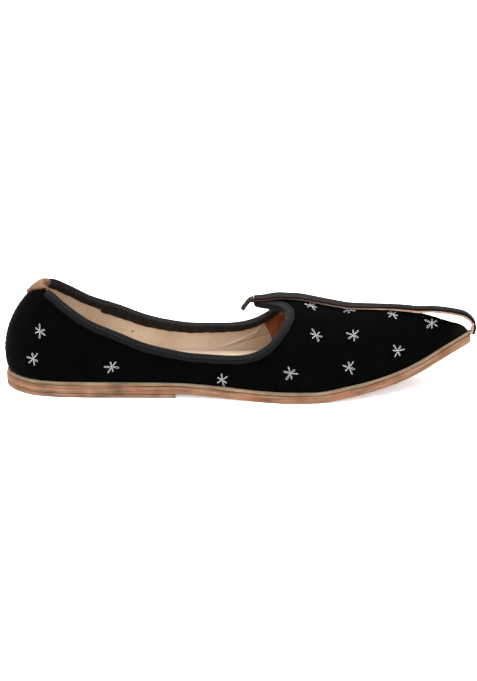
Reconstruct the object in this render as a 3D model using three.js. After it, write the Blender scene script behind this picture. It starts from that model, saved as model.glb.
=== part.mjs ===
// A mojari: a flat leather slip-on shoe with a pointed, upturned toe and a velvet-covered upper.
// It is made on a straight last, so it fits either foot. Millimetres, X towards the toe, Z up.
// While it is built, X is 0 at the back of the sole; the finished group is then centred on its box.
import * as THREE from 'three';
import { mergeVertices } from 'three/addons/utils/BufferGeometryUtils.js';

// Driving dimensions
const soleLength = 285;
const ballWidth = 84.4;
const heelWidth = 62;
const instepRise = 46.5;      // ridge of the upper above the sole, at the throat
const heelRise = 55.2;        // back of the collar above the sole
const toeSpring = 26.5;       // underside of the sole's tip above the floor
const liftThickness = 2.6;
const outsoleThickness = 4.5;
const midsoleThickness = 1.7;
const insoleThickness = 2;
const upperWall = 1.6;
const sideBulge = 2.6;        // how far the upper swells out over its seam with the sole
const clearance = 0.3;        // gap between neighbouring pieces
const softGap = 0.55;         // gap under the leather that is folded or laid over the upper

// The layers' edges, inwards from the outsole's outline
const edgeChamfer = 0.7;
const midsoleInset = 0.5;
const upperInset = 2;
const liftInset = 0.4;

// The collar's folded leather band, the pull tab at the heel and the strap over the vamp
const bandThickness = 0.7;
const bandOuterLeg = 3.3;
const bandInnerLeg = 4.4;
const tabThickness = 1.1;
const tabWidth = 16;
const tabStripWidth = 8;      // at its foot on the back seam
const tabCrest = 3.1;         // how far the tab's fold stands above the collar
const tabInnerDepth = 20;
const strapLayer = 1.15;      // the strap is two layers of leather, pared thin over the instep
const strapPared = 0.6;
const strapLoopWidth = 6.6;
const strapInstepWidth = 10;
const strapEndWidth = 8;
const tailRadius = 1.3;
const tailReach = 7;
const tailDrop = 6.5;

// How finely curves are cut into flat faces
const soleStations = 40;
const ridgeStations = 22;
const edgeStations = 33;
const edgeCrowding = 0.5;     // the stations stand closer at the peak and at the heel
const upperRows = 12;
const tabSteps = 10;
const tabColumns = 6;
const strapStations = 46;
const tailSides = 10;
const tailSteps = 9;

// Ribs of the last, from the tip of the toe round one side to the middle of the heel.
// along: foot of the rib, as a share of the sole's length. ball, heel: the sole's half width there,
// as shares of half the ball's and half the heel's width. spine: where the rib ends on the middle
// plane, as a share of the length. instep, cone: its height above the sole, as shares of the rise
// at the instep and at the heel. bulge: share of the side bulge. roof: how straight the rib is.
const ribs = [
  { along: 1.000, ball: 0.000, heel: 0.00, spine: 0.975, instep: 0.070, cone: 0.000, bulge: 0.10, roof: 0.40 },
  { along: 0.9975, ball: 0.058, heel: 0.00, spine: 0.974, instep: 0.085, cone: 0.000, bulge: 0.10, roof: 0.40 },
  { along: 0.985, ball: 0.100, heel: 0.00, spine: 0.970, instep: 0.140, cone: 0.000, bulge: 0.15, roof: 0.38 },
  { along: 0.965, ball: 0.152, heel: 0.00, spine: 0.960, instep: 0.215, cone: 0.000, bulge: 0.20, roof: 0.34 },
  { along: 0.940, ball: 0.222, heel: 0.00, spine: 0.940, instep: 0.330, cone: 0.000, bulge: 0.25, roof: 0.28 },
  { along: 0.890, ball: 0.402, heel: 0.00, spine: 0.890, instep: 0.563, cone: 0.000, bulge: 0.30, roof: 0.18 },
  { along: 0.838, ball: 0.592, heel: 0.00, spine: 0.838, instep: 0.701, cone: 0.000, bulge: 0.35, roof: 0.10 },
  { along: 0.786, ball: 0.758, heel: 0.00, spine: 0.786, instep: 0.782, cone: 0.000, bulge: 0.40, roof: 0.06 },
  { along: 0.733, ball: 0.888, heel: 0.00, spine: 0.733, instep: 0.841, cone: 0.000, bulge: 0.45, roof: 0.04 },
  { along: 0.683, ball: 0.970, heel: 0.00, spine: 0.683, instep: 0.938, cone: 0.000, bulge: 0.50, roof: 0.02 },
  { along: 0.632, ball: 1.000, heel: 0.00, spine: 0.632, instep: 1.008, cone: 0.000, bulge: 0.60, roof: 0.00 },
  { along: 0.590, ball: 0.982, heel: 0.00, spine: 0.590, instep: 1.005, cone: 0.000, bulge: 0.65, roof: 0.00 },
  { along: 0.544, ball: 0.924, heel: 0.00, spine: 0.544, instep: 0.966, cone: 0.000, bulge: 0.65, roof: 0.00 },
  { along: 0.500, ball: 0.680, heel: 0.24, spine: 0.500, instep: 0.930, cone: 0.030, bulge: 0.65, roof: 0.00 },
  { along: 0.435, ball: 0.380, heel: 0.55, spine: 0.435, instep: 0.620, cone: 0.360, bulge: 0.65, roof: 0.00 },
  { along: 0.348, ball: 0.060, heel: 0.93, spine: 0.348, instep: 0.000, cone: 0.900, bulge: 0.55, roof: 0.00 },
  { along: 0.243, ball: 0.000, heel: 1.00, spine: 0.254, instep: 0.000, cone: 1.070, bulge: 0.60, roof: 0.00 },
  { along: 0.165, ball: 0.000, heel: 0.985, spine: 0.198, instep: 0.000, cone: 1.050, bulge: 0.60, roof: 0.00 },
  { along: 0.105, ball: 0.000, heel: 0.94, spine: 0.167, instep: 0.000, cone: 1.055, bulge: 0.85, roof: 0.00 },
  { along: 0.055, ball: 0.000, heel: 0.79, spine: 0.153, instep: 0.000, cone: 1.065, bulge: 1.30, roof: 0.00 },
  { along: 0.020, ball: 0.000, heel: 0.50, spine: 0.148, instep: 0.000, cone: 1.085, bulge: 1.65, roof: 0.00 },
  { along: 0.005, ball: 0.000, heel: 0.26, spine: 0.146, instep: 0.000, cone: 1.094, bulge: 1.75, roof: 0.00 },
  { along: 0.000, ball: 0.000, heel: 0.00, spine: 0.146, instep: 0.000, cone: 1.094, bulge: 1.76, roof: 0.00 },
];

// Underside of the outsole. along: share of the length. seat: share of the heel lift's height.
// spring: share of the toe spring.
const underside = [
  { along: 0.000, seat: 1.00, spring: 0.000 },
  { along: 0.180, seat: 1.00, spring: 0.000 },
  { along: 0.365, seat: 0.93, spring: 0.000 },
  { along: 0.450, seat: 0.50, spring: 0.000 },
  { along: 0.530, seat: 0.08, spring: 0.000 },
  { along: 0.575, seat: 0.00, spring: 0.000 },
  { along: 0.660, seat: 0.00, spring: 0.000 },
  { along: 0.733, seat: 0.00, spring: 0.085 },
  { along: 0.786, seat: 0.00, spring: 0.165 },
  { along: 0.838, seat: 0.00, spring: 0.272 },
  { along: 0.890, seat: 0.00, spring: 0.440 },
  { along: 0.940, seat: 0.00, spring: 0.680 },
  { along: 1.000, seat: 0.00, spring: 1.000 },
];
const liftFront = 0.365;      // share of the length where the heel lift's front edge stands

// Edge of the opening, from the peak over the instep round the throat and along the collar to the
// heel. along: share of the length. climb: share of the way up the rib from the sole to the ridge.
const openingEdge = [
  { along: 0.537, climb: 1.000 },
  { along: 0.545, climb: 0.955 },
  { along: 0.566, climb: 0.895 },
  { along: 0.590, climb: 0.830 },
  { along: 0.603, climb: 0.750 },
  { along: 0.604, climb: 0.660 },
  { along: 0.594, climb: 0.560 },
  { along: 0.578, climb: 0.467 },
  { along: 0.560, climb: 0.391 },
  { along: 0.534, climb: 0.328 },
  { along: 0.502, climb: 0.287 },
  { along: 0.450, climb: 0.252 },
  { along: 0.398, climb: 0.243 },
  { along: 0.348, climb: 0.267 },
  { along: 0.295, climb: 0.290 },
  { along: 0.243, climb: 0.339 },
  { along: 0.200, climb: 0.400 },
  { along: 0.160, climb: 0.487 },
  { along: 0.125, climb: 0.590 },
  { along: 0.100, climb: 0.672 },
  { along: 0.0815, climb: 0.691 },
  { along: 0.000, climb: 0.685 },
];

// The upper's wall is meshed in columns: where the peak's column stands on the sole, as a share of
// the length, and the share of the opening's edge after which the columns stand upright
const peakColumnAlong = 0.70;
const throatShare = 0.42;

// Inner face of the strap's loop at the toe. along: share of the length. lift: height above the
// sole's tip, as a share of the rise at the instep.
const loopLine = [
  { along: 1.0004, lift: -0.012 },
  { along: 1.0014, lift: 0.018 },
  { along: 1.0020, lift: 0.052 },
  { along: 1.0006, lift: 0.092 },
  { along: 0.9955, lift: 0.140 },
  { along: 0.9835, lift: 0.193 },
  { along: 0.9650, lift: 0.224 },
  { along: 0.9400, lift: 0.248 },
  { along: 0.9150, lift: 0.261 },
];
const strapLanding = 0.885;   // share of the length where the strap comes to lie on the ridge
const strapEnd = 0.533;       // share of the length where it ends, over the peak
const strapClimb = { from: 0.62, to: 0.585 };  // where it climbs onto the collar's band
const strapNarrows = { loop: 0.92, instep: 0.66, end: 0.57 };
const strapThins = { from: 0.90, to: 0.77 };

// The tail that hangs from the strap's end, as shares of its reach and of its drop
const tailLine = [
  { back: 0.00, drop: 0.00 },
  { back: 0.30, drop: 0.12 },
  { back: 0.70, drop: 0.55 },
  { back: 1.00, drop: 1.00 },
];

// The tab at the heel: where its strip ends on the back seam and where it widens, as shares of climb
const tabFootClimb = 0.54;
const tabWidens = { from: 0.54, to: 0.67 };

const materials = {
  velvet: new THREE.MeshStandardMaterial({ color: 0x0b0a0c, roughness: 0.95, metalness: 0 }),
  darkLeather: new THREE.MeshStandardMaterial({ color: 0x262525, roughness: 0.6, metalness: 0 }),
  strapLeather: new THREE.MeshStandardMaterial({ color: 0x3a3430, roughness: 0.65, metalness: 0 }),
  tanLeather: new THREE.MeshStandardMaterial({ color: 0xa97a5f, roughness: 0.7, metalness: 0 }),
  soleLeather: new THREE.MeshStandardMaterial({ color: 0xa87a5c, roughness: 0.75, metalness: 0 }),
  randLeather: new THREE.MeshStandardMaterial({ color: 0x8e785f, roughness: 0.8, metalness: 0 }),
  insoleLeather: new THREE.MeshStandardMaterial({ color: 0xb9916f, roughness: 0.8, metalness: 0 }),
};

// A smooth closed curve through the rows and their mirror images. The share 0 is the first row
// and the share 1 the last one.
function mirroredCurve(rows, toPoint) {
  const near = rows.map(toPoint);
  const far = near.slice(1, -1).reverse().map((point) => new THREE.Vector3(point.x, -point.y, point.z));
  const curve = new THREE.CatmullRomCurve3([...near, ...far], true);
  return (share) => curve.getPoint(share / 2);
}

// The value of a table's column at a place along the sole, on a curve that never overshoots
function columnAt(rows, column, along) {
  const last = rows.length - 1;
  const place = THREE.MathUtils.clamp(along, rows[0].along, rows[last].along);
  let k = 0;
  while (k < last - 1 && place > rows[k + 1].along) k += 1;
  const rise = (i) => (rows[i + 1][column] - rows[i][column]) / (rows[i + 1].along - rows[i].along);
  const slope = (i) => {
    if (i === 0 || i === last || rise(i - 1) * rise(i) <= 0) return 0;
    return (2 * rise(i - 1) * rise(i)) / (rise(i - 1) + rise(i));
  };
  const endSlope = (i) => (i === last ? rise(last - 1) : slope(i));
  const width = rows[k + 1].along - rows[k].along;
  const t = (place - rows[k].along) / width;
  const s = 1 - t;
  return rows[k][column] * s * s * (1 + 2 * t) + rows[k + 1][column] * t * t * (3 - 2 * t)
    + width * (slope(k) * t * s * s - endSlope(k + 1) * s * t * t);
}

// The share between low and high where a rising function reaches zero
function crossing(rising, low, high) {
  const halvings = 40;
  let from = low;
  let to = high;
  for (let i = 0; i < halvings; i += 1) {
    const middle = (from + to) / 2;
    if (rising(middle) < 0) from = middle;
    else to = middle;
  }
  return (from + to) / 2;
}

// The sole's outline on one side, and how its layers rise with the heel lift and the toe spring
const outline = mirroredCurve(ribs, (row) => new THREE.Vector3(
  row.along * soleLength, -(row.ball * ballWidth + row.heel * heelWidth) / 2, 0));

function outward(share) {
  const step = 1e-3;
  const tangent = outline(share + step).sub(outline(share - step)).normalize();
  return new THREE.Vector2(-tangent.y, tangent.x);
}

function insetOutline(share, inset) {
  const point = outline(share);
  const away = outward(share);
  return new THREE.Vector2(point.x - away.x * inset, point.y - away.y * inset);
}

// The share where an inset outline leaves the middle plane behind the tip of the toe
function insetStart(inset) {
  const searchEnd = 0.5;
  return crossing((share) => -insetOutline(share, inset).y, 0, searchEnd);
}

function soleHeight(x) {
  const along = x / soleLength;
  return columnAt(underside, 'seat', along) * (liftThickness + clearance)
    + columnAt(underside, 'spring', along) * toeSpring;
}

function layerHeight(x, depth) {
  const step = 0.5;
  const steepness = (soleHeight(x + step) - soleHeight(x - step)) / (2 * step);
  return soleHeight(x) + depth * Math.hypot(1, steepness);
}

const midsoleBottom = outsoleThickness + clearance;
const midsoleTop = midsoleBottom + midsoleThickness;
const upperBottom = midsoleTop + clearance;

function shares(count) {
  return Array.from({ length: count + 1 }, (_, i) => i / count);
}

function mirrored(point) {
  return new THREE.Vector3(point.x, -point.y, point.z);
}

// Joins points that coincide, leaves out triangles without area or in the middle plane, where the
// two halves of a body are one, and turns the faces outwards
function welded(triangles) {
  const positions = [];
  const index = [];
  const known = new Map();
  const weld = 1e4;
  const vertex = (point) => {
    const key = point.toArray().map((value) => Math.round(value * weld) + 0).join();
    if (!known.has(key)) {
      known.set(key, positions.length / 3);
      positions.push(point.x, point.y, point.z);
    }
    return known.get(key);
  };
  let volume = 0;
  for (const [a, b, c] of triangles) {
    const corners = [vertex(a), vertex(b), vertex(c)];
    const inMiddle = [a, b, c].every((point) => Math.abs(point.y) * weld < 1);
    if (new Set(corners).size === 3 && !inMiddle) {
      index.push(...corners);
      volume += a.dot(b.clone().cross(c));
    }
  }
  if (volume < 0) index.reverse();
  const geometry = new THREE.BufferGeometry();
  geometry.setAttribute('position', new THREE.Float32BufferAttribute(positions, 3));
  geometry.setIndex(index);
  geometry.computeVertexNormals();
  return geometry;
}

// One closed body between two skins of points, row by row. A ring of rows closes on itself, and
// an end that narrows to the middle plane needs no cap. Each quad is cut along its shorter
// diagonal, so that the two halves of a body mirror each other.
function bodyBetween(outerRows, innerRows, { ring = false, firstCap = !ring, lastCap = !ring } = {}) {
  const edge = outerRows[0].length - 1;
  const rowCount = outerRows.length;
  const triangles = [];
  const quad = (a, b, c, d) => {
    if (a.distanceTo(c) < b.distanceTo(d)) triangles.push([a, b, c], [a, c, d]);
    else triangles.push([b, c, d], [b, d, a]);
  };
  for (let i = 0; i < rowCount - (ring ? 0 : 1); i += 1) {
    const next = (i + 1) % rowCount;
    for (let j = 0; j < edge; j += 1) {
      quad(outerRows[i][j], outerRows[i][j + 1], outerRows[next][j + 1], outerRows[next][j]);
      quad(innerRows[i][j], innerRows[next][j], innerRows[next][j + 1], innerRows[i][j + 1]);
    }
    quad(outerRows[i][0], outerRows[next][0], innerRows[next][0], innerRows[i][0]);
    quad(outerRows[i][edge], innerRows[i][edge], innerRows[next][edge], outerRows[next][edge]);
  }
  const last = rowCount - 1;
  for (let j = 0; j < edge; j += 1) {
    if (firstCap) quad(outerRows[0][j], innerRows[0][j], innerRows[0][j + 1], outerRows[0][j + 1]);
    if (lastCap) quad(outerRows[last][j], outerRows[last][j + 1], innerRows[last][j + 1], innerRows[last][j]);
  }
  return welded(triangles);
}

// A slab of the sole with chamfered edges, from a share of the outline to the middle of the heel
function soleSlab({ inset, bottom, top, from = 0, blunt = false }) {
  const edgeLine = (sunk) => {
    const start = Math.max(from, insetStart(inset + sunk));
    return shares(soleStations).map((share) => insetOutline(start + (1 - start) * share, inset + sunk));
  };
  const outerEdge = edgeLine(0);
  const faceEdge = edgeLine(edgeChamfer);
  const raised = (point, z) => new THREE.Vector3(point.x, Math.min(point.y, 0), z);
  const skin = (height, rise) => outerEdge.map((point, i) => {
    const near = [raised(point, height(point.x) + rise), raised(faceEdge[i], height(faceEdge[i].x))];
    return [...near, ...near.map(mirrored).reverse()];
  });
  return bodyBetween(skin(top, -edgeChamfer), skin(bottom, edgeChamfer), { firstCap: blunt, lastCap: false });
}

// A surface of the last, some way in from the upper's outside. u runs along the sole's outline
// from the toe to the heel, and climb from the seam with the sole (0) over the ridge (1) to the
// far side (2).
const spineOf = mirroredCurve(ribs, (row) => new THREE.Vector3(
  row.spine * soleLength, 0, row.instep * instepRise + row.cone * heelRise));
const formOf = mirroredCurve(ribs, (row) => new THREE.Vector3(row.bulge, 0, row.roof));

function lastSurface(depth) {
  const inset = upperInset + depth;
  const swell = 0.6;
  const at = (u, climb) => {
    if (climb > 1) return mirrored(at(u, 2 - climb));
    const foot = insetOutline(u, inset);
    const away = outward(u);
    const spine = spineOf(u);
    const form = formOf(u);
    const turn = climb * Math.PI / 2;
    const roof = form.z * climb;
    const across = roof + (1 - form.z) * (1 - Math.cos(turn));
    const up = roof + (1 - form.z) * Math.sin(turn);
    const bulge = form.x * sideBulge * Math.sin(Math.PI * Math.max(climb, 0) ** swell);
    return new THREE.Vector3(
      foot.x + (spine.x - foot.x) * across + away.x * bulge,
      foot.y * (1 - across) + away.y * bulge,
      layerHeight(foot.x, upperBottom) + (spine.z - depth) * up,
    );
  };
  return { at, start: insetStart(inset) };
}

const velvetFace = lastSurface(0);

// The share u of the rib that stands at a place along the shoe, at a given climb
function ribAt(surface, along, climb) {
  return crossing((u) => along * soleLength - surface.at(u, climb).x, surface.start, 1);
}

const edgeShares = shares(edgeStations).map(
  (share) => share - (edgeCrowding * Math.sin(2 * Math.PI * share)) / (2 * Math.PI));

// The opening's edge on a surface of the last: share 0 at the peak, 1 at the heel
function edgeOn(surface) {
  const near = openingEdge.map(({ along, climb }) => new THREE.Vector3(ribAt(surface, along, climb), climb, 0));
  const far = near.slice(1).reverse().map((point) => new THREE.Vector3(point.x, 2 - point.y, 0));
  const curve = new THREE.CatmullRomCurve3([...far, ...near]);
  return (share) => curve.getPoint((1 + share) / 2);
}

// Rows of points over one skin of the upper, from the toe to the heel. Each climbs from the sole's
// seam, first to the ridge and then, behind the peak's own station, to the opening's edge. A column
// that slants does so mostly near its top.
function upperSkin(depth) {
  const slantPower = 3;
  const surface = lastSurface(depth);
  const edge = edgeOn(surface);
  const peak = edge(0);
  const peakSeam = ribAt(surface, peakColumnAlong, 0);
  const toRidge = shares(ridgeStations).slice(0, -1).map((share) => ({
    top: new THREE.Vector2(THREE.MathUtils.lerp(surface.start, peak.x, share), 1),
    seam: THREE.MathUtils.lerp(surface.start, peakSeam, share),
  }));
  const toEdge = edgeShares.map((share) => {
    const top = edge(share);
    const upright = THREE.MathUtils.smoothstep(share, 0, throatShare);
    return { top, seam: THREE.MathUtils.lerp(peakSeam, top.x, upright) };
  });
  return [...toRidge, ...toEdge].map(({ top, seam }) => shares(upperRows).map(
    (climb) => surface.at(seam + (top.x - seam) * climb ** slantPower, top.y * climb)));
}

function upper() {
  const round = (rows) => [...rows, ...rows.map((row) => row.map(mirrored)).reverse()];
  return bodyBetween(round(upperSkin(0)), round(upperSkin(upperWall)), { ring: true });
}

// The point of a surface that lies a distance from the opening's edge, down the upper. A negative
// reach stands over the opening. Near the peak it keeps off the middle plane.
function fromEdge(surface, edge, share, reach) {
  const step = 1e-3;
  const nearestMiddle = 0.8;
  const place = edge(share);
  const along = edge(share + step).sub(edge(share - step));
  const here = surface.at(place.x, place.y);
  const byU = surface.at(place.x + step, place.y).sub(here).divideScalar(step);
  const byClimb = surface.at(place.x, place.y - step).sub(here).divideScalar(-step);
  const tangent = byU.clone().multiplyScalar(along.x).addScaledVector(byClimb, along.y);
  const away = byClimb.clone().cross(byU).cross(tangent).setLength(reach);
  const uu = byU.dot(byU);
  const uc = byU.dot(byClimb);
  const cc = byClimb.dot(byClimb);
  const scale = uu * cc - uc * uc;
  const du = (away.dot(byU) * cc - away.dot(byClimb) * uc) / scale;
  const dc = (away.dot(byClimb) * uu - away.dot(byU) * uc) / scale;
  return surface.at(place.x + du, place.y + Math.min(dc, nearestMiddle * (1 - place.y)));
}

// The surfaces that bound a leather piece folded over the upper's edge
function foldedSurfaces(thickness) {
  return {
    outerFace: lastSurface(-softGap - thickness),
    outerBack: lastSurface(-softGap),
    fold: lastSurface(upperWall / 2),
    innerBack: lastSurface(upperWall + softGap),
    innerFace: lastSurface(upperWall + softGap + thickness),
  };
}

// The leather band folded over the opening's edge. It ends on each side of the tab at the heel.
function collarBand() {
  const surfaces = foldedSurfaces(bandThickness);
  const edges = {};
  for (const name of Object.keys(surfaces)) edges[name] = edgeOn(surfaces[name]);
  const endWidth = tabWidth / 2 + softGap;
  const endSearch = 0.7;
  const end = crossing((share) => {
    const place = edges.innerFace(share);
    return surfaces.innerFace.at(place.x, place.y).y + endWidth;
  }, endSearch, 1);
  const rim = -softGap;
  const section = (outer, inner, foldReach) => [
    [outer, bandOuterLeg],
    [outer, bandOuterLeg / 2],
    [outer, rim],
    ['fold', foldReach],
    [inner, rim],
    [inner, bandInnerLeg / 2],
    [inner, bandInnerLeg],
  ];
  const rows = (points) => {
    const places = [...edgeShares.filter((share) => share < end), end];
    const near = places.map((share) => points.map(
      ([name, reach]) => fromEdge(surfaces[name], edges[name], share, reach)));
    return [...near.slice(1).reverse().map((row) => row.map(mirrored)), ...near];
  };
  return bodyBetween(
    rows(section('outerFace', 'innerFace', rim - bandThickness)),
    rows(section('outerBack', 'innerBack', rim)),
  );
}

// The pull tab: a leather strip folded over the collar at the back seam and down inside the heel
function heelTab() {
  const surfaces = foldedSurfaces(tabThickness);
  const top = openingEdge[openingEdge.length - 1].climb;
  const step = 1e-3;
  const climbRate = surfaces.fold.at(1, top).distanceTo(surfaces.fold.at(1, top - step)) / step;
  const crest = top + tabCrest / climbRate;
  const crestBack = crest - tabThickness / climbRate;
  const innerEnd = top - tabInnerDepth / climbRate;
  const outer = shares(tabSteps).map((share) => tabFootClimb + (top - tabFootClimb) * share);
  const inner = shares(tabSteps).map((share) => top + (innerEnd - top) * share);
  const places = [
    ...outer.map((climb) => ['outerFace', climb, 'outerBack', climb]),
    ['outerFace', (top + crest) / 2, 'outerBack', (top + crestBack) / 2],
    ['fold', crest, 'fold', crestBack],
    ['innerFace', (top + crest) / 2, 'innerBack', (top + crestBack) / 2],
    ...inner.map((climb) => ['innerFace', climb, 'innerBack', climb]),
  ];
  const besideSeam = (name, climb, y) => {
    const sideSearch = 0.75;
    const u = crossing((share) => surfaces[name].at(share, climb).y + Math.abs(y), sideSearch, 1);
    const point = surfaces[name].at(u, climb);
    return y > 0 ? mirrored(point) : point;
  };
  const across = shares(tabColumns).map((share) => 2 * share - 1);
  const row = (name, climb) => {
    const widening = THREE.MathUtils.smoothstep(climb, tabWidens.from, tabWidens.to);
    const width = THREE.MathUtils.lerp(tabStripWidth, tabWidth, name.startsWith('outer') ? widening : 1);
    return across.map((side) => besideSeam(name, climb, side * width / 2));
  };
  return bodyBetween(
    places.map(([face, climb]) => row(face, climb)),
    places.map(([, , back, climb]) => row(back, climb)),
  );
}

// The inner face of the strap, from the toe's loop along the ridge to its end over the peak
function strapLine() {
  const seats = 14;
  const tip = layerHeight(soleLength, upperBottom);
  const loop = loopLine.map(
    ({ along, lift }) => new THREE.Vector3(along * soleLength, 0, tip + lift * instepRise));
  const onRidge = shares(seats).map((share) => {
    const along = THREE.MathUtils.lerp(strapLanding, strapEnd, share);
    const ridge = velvetFace.at(ribAt(velvetFace, along, 1), 1);
    const onBand = 1 - THREE.MathUtils.smoothstep(along, strapClimb.to, strapClimb.from);
    return new THREE.Vector3(ridge.x, 0, ridge.z + softGap + onBand * (bandThickness + clearance));
  });
  return new THREE.CatmullRomCurve3([...loop, ...onRidge]);
}

function strapWidth(along) {
  const widening = 1 - THREE.MathUtils.smoothstep(along, strapNarrows.instep, strapNarrows.loop);
  const narrowing = 1 - THREE.MathUtils.smoothstep(along, strapEnd, strapNarrows.end);
  return THREE.MathUtils.lerp(strapLoopWidth, strapInstepWidth, widening)
    - (strapInstepWidth - strapEndWidth) * narrowing;
}

function strapDepth(along) {
  const whole = THREE.MathUtils.smoothstep(along, strapThins.to, strapThins.from);
  return THREE.MathUtils.lerp(strapPared, strapLayer, whole);
}

// One layer of the strap. The lower layer is number 0.
function strapLayerBody(line, number) {
  const skin = (layersBelow) => shares(strapStations).map((share) => {
    const point = line.getPointAt(share);
    const tangent = line.getTangentAt(share);
    const along = point.x / soleLength;
    const side = strapWidth(along) / 2;
    const height = strapDepth(along) * layersBelow + clearance * number;
    return [-side, side].map((y) => new THREE.Vector3(
      point.x + tangent.z * height, y, point.z - tangent.x * height));
  });
  return bodyBetween(skin(number + 1), skin(number));
}

function strapTail(line) {
  const end = line.getPointAt(1);
  const tangent = line.getTangentAt(1);
  const middle = strapPared + clearance / 2;
  const start = end.addScaledVector(tangent, softGap)
    .add(new THREE.Vector3(tangent.z, 0, -tangent.x).multiplyScalar(middle));
  const path = new THREE.CatmullRomCurve3(tailLine.map((row) => new THREE.Vector3(
    start.x - row.back * tailReach, 0, start.z - row.drop * tailDrop)));
  const circle = new THREE.Shape().absarc(0, 0, tailRadius, 0, 2 * Math.PI);
  const tube = new THREE.ExtrudeGeometry(circle, {
    steps: tailSteps, curveSegments: tailSides, bevelEnabled: false, extrudePath: path,
  });
  tube.deleteAttribute('normal');
  tube.deleteAttribute('uv');
  const merged = mergeVertices(tube);
  merged.computeVertexNormals();
  return merged;
}

const shoe = new THREE.Group();

function add(name, geometry, material) {
  const mesh = new THREE.Mesh(geometry, material);
  mesh.name = name;
  shoe.add(mesh);
}

const liftStart = crossing((share) => liftFront * soleLength - outline(share).x, 0, 1);

add('heel_lift', soleSlab({
  inset: liftInset,
  bottom: () => 0,
  top: (x) => soleHeight(x) - clearance,
  from: liftStart,
  blunt: true,
}), materials.soleLeather);
add('outsole', soleSlab({
  inset: 0,
  bottom: (x) => layerHeight(x, 0),
  top: (x) => layerHeight(x, outsoleThickness),
}), materials.soleLeather);
add('midsole', soleSlab({
  inset: midsoleInset,
  bottom: (x) => layerHeight(x, midsoleBottom),
  top: (x) => layerHeight(x, midsoleTop),
}), materials.randLeather);
add('insole', soleSlab({
  inset: upperInset + upperWall + softGap,
  bottom: (x) => layerHeight(x, upperBottom),
  top: (x) => layerHeight(x, upperBottom + insoleThickness),
}), materials.insoleLeather);
add('upper', upper(), materials.velvet);
add('collar_band', collarBand(), materials.darkLeather);
add('heel_tab', heelTab(), materials.tanLeather);

const vampStrap = strapLine();
add('toe_strap_backing', strapLayerBody(vampStrap, 0), materials.tanLeather);
add('toe_strap', strapLayerBody(vampStrap, 1), materials.strapLeather);
add('strap_tail', strapTail(vampStrap), materials.strapLeather);

// The origin is the middle of the underside of the shoe's box
const box = new THREE.Box3().setFromObject(shoe);
const middle = box.getCenter(new THREE.Vector3());
shoe.position.set(-middle.x, -middle.y, -box.min.z);
shoe.updateMatrixWorld(true);

export default shoe;
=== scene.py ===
"""Looks of a mojari shoe: velvet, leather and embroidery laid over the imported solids.

The forms are worked out in millimetres, as in the part's source, with X 0 at the back of the sole,
and turned into metres in the shared frame when a mesh is made.
"""
import functools
import math

import bmesh
import bpy
import numpy as np
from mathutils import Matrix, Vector


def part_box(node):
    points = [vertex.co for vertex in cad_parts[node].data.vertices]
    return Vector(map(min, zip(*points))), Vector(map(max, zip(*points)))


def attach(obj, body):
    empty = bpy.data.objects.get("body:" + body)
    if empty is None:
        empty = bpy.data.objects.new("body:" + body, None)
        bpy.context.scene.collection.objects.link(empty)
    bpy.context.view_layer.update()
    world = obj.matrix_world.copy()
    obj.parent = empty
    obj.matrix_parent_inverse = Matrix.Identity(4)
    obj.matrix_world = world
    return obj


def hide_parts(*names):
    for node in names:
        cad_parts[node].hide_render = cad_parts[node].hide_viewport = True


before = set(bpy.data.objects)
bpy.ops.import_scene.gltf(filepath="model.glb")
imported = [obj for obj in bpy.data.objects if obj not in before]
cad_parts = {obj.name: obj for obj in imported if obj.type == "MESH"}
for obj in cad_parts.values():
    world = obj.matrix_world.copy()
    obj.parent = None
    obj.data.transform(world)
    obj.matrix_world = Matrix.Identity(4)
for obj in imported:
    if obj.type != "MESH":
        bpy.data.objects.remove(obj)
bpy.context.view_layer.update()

MM = 0.001
HEEL_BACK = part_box("outsole")[0].x

# Sizes of the solids, but for the foot of the tab, which is narrower and ends higher here
SOLE_LENGTH = 285
BALL_WIDTH = 84.4
HEEL_WIDTH = 62
INSTEP_RISE = 46.5
HEEL_RISE = 55.2
TOE_SPRING = 26.5
LIFT_THICKNESS = 2.6
OUTSOLE_THICKNESS = 4.5
MIDSOLE_THICKNESS = 1.7
INSOLE_THICKNESS = 2
UPPER_WALL = 1.6
SIDE_BULGE = 2.6
CLEARANCE = 0.3
SOFT_GAP = 0.55
MIDSOLE_INSET = 0.5
UPPER_INSET = 2
LIFT_INSET = 0.4
BAND_THICKNESS = 0.7
BAND_OUTER_LEG = 3.3
BAND_INNER_LEG = 4.4
TAB_THICKNESS = 1.1
TAB_WIDTH = 16
TAB_STRIP_WIDTH = 4.4
TAB_CREST = 3.1
TAB_INNER_DEPTH = 20
STRAP_LAYER = 1.15
STRAP_PARED = 0.6
STRAP_LOOP_WIDTH = 6.6
STRAP_INSTEP_WIDTH = 10
STRAP_END_WIDTH = 8
TAIL_REACH = 7
TAIL_DROP = 6.5

# Sizes of the looks alone, and those that follow from the sizes above
SEEN_GAP = 0.12
LINING_THICKNESS = 0.34
SEAM_SHARE = 0.62
FOLD_LENGTH = math.pi * (UPPER_WALL / 2 + SOFT_GAP + BAND_THICKNESS)
STRAP_MEAN_WIDTH = (STRAP_LOOP_WIDTH + STRAP_INSTEP_WIDTH) / 2
LINING_DEPTH = UPPER_WALL + LINING_THICKNESS


def table(columns, *rows):
    """Rows of numbers as one array for each named column."""
    return dict(zip(columns, np.array(rows, float).T))


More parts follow.
